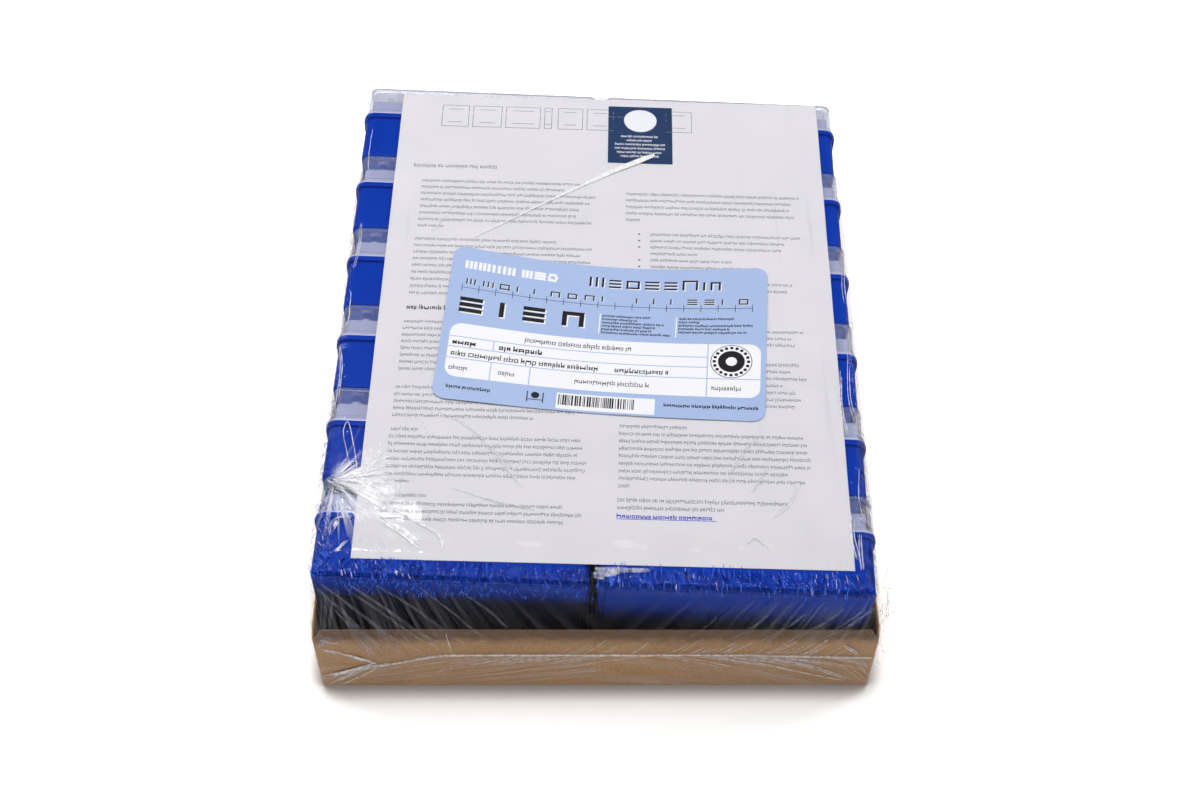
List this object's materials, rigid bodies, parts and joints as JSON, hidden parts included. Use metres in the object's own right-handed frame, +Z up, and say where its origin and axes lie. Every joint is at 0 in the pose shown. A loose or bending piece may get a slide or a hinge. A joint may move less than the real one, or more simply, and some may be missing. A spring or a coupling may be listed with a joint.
{
  "type": "pack of pipette tip boxes",
  "caption": "Sealed pack of pipette tip racks standing in a kraft tray under clear shrink film, with a printed sheet and a pale label on top.",
  "frame": {"origin": "centre of the pack's underside", "axes": "+Z up, -Y towards the front, where the bottoms of the rack bases face, +X to the right as seen from the front"},
  "size_m": [0.2548, 0.3078, 0.086],
  "materials": {
    "kraft_board": "natural kraft board, matt",
    "sheet_paper": "white office paper with grey print",
    "label_paper": "coated label paper, pale blue with white and black fields",
    "film": "clear shrink film with tight wrinkles",
    "base_plastic": "semi-gloss moulded polypropylene, royal blue",
    "lid_plastic": "clear moulded plastic",
    "plate_plastic": "natural, slightly milky polypropylene",
    "tip_plastic": "natural translucent polypropylene"
  },
  "bodies": {
    "root": {"tray": "kraft_board", "certificate": "sheet_paper", "label": "label_paper", "shrink_film": "film", "base_left_1": "base_plastic", "lid_left_1": "lid_plastic", "tip_plate_left_1": "plate_plastic", "tips_left_1": "tip_plastic", "base_left_2": "base_plastic", "lid_left_2": "lid_plastic", "tip_plate_left_2": "plate_plastic", "tips_left_2": "tip_plastic", "base_left_3": "base_plastic", "lid_left_3": "lid_plastic", "tip_plate_left_3": "plate_plastic", "tips_left_3": "tip_plastic", "base_left_4": "base_plastic", "lid_left_4": "lid_plastic", "tip_plate_left_4": "plate_plastic", "tips_left_4": "tip_plastic", "base_left_5": "base_plastic", "lid_left_5": "lid_plastic", "tip_plate_left_5": "plate_plastic", "tips_left_5": "tip_plastic", "base_left_6": "base_plastic", "lid_left_6": "lid_plastic", "tip_plate_left_6": "plate_plastic", "tips_left_6": "tip_plastic", "base_right_1": "base_plastic", "lid_right_1": "lid_plastic", "tip_plate_right_1": "plate_plastic", "tips_right_1": "tip_plastic", "base_right_2": "base_plastic", "lid_right_2": "lid_plastic", "tip_plate_right_2": "plate_plastic", "tips_right_2": "tip_plastic", "base_right_3": "base_plastic", "lid_right_3": "lid_plastic", "tip_plate_right_3": "plate_plastic", "tips_right_3": "tip_plastic", "base_right_4": "base_plastic", "lid_right_4": "lid_plastic", "tip_plate_right_4": "plate_plastic", "tips_right_4": "tip_plastic", "base_right_5": "base_plastic", "lid_right_5": "lid_plastic", "tip_plate_right_5": "plate_plastic", "tips_right_5": "tip_plastic", "base_right_6": "base_plastic", "lid_right_6": "lid_plastic", "tip_plate_right_6": "plate_plastic", "tips_right_6": "tip_plastic"}
  },
  "joints": []
}
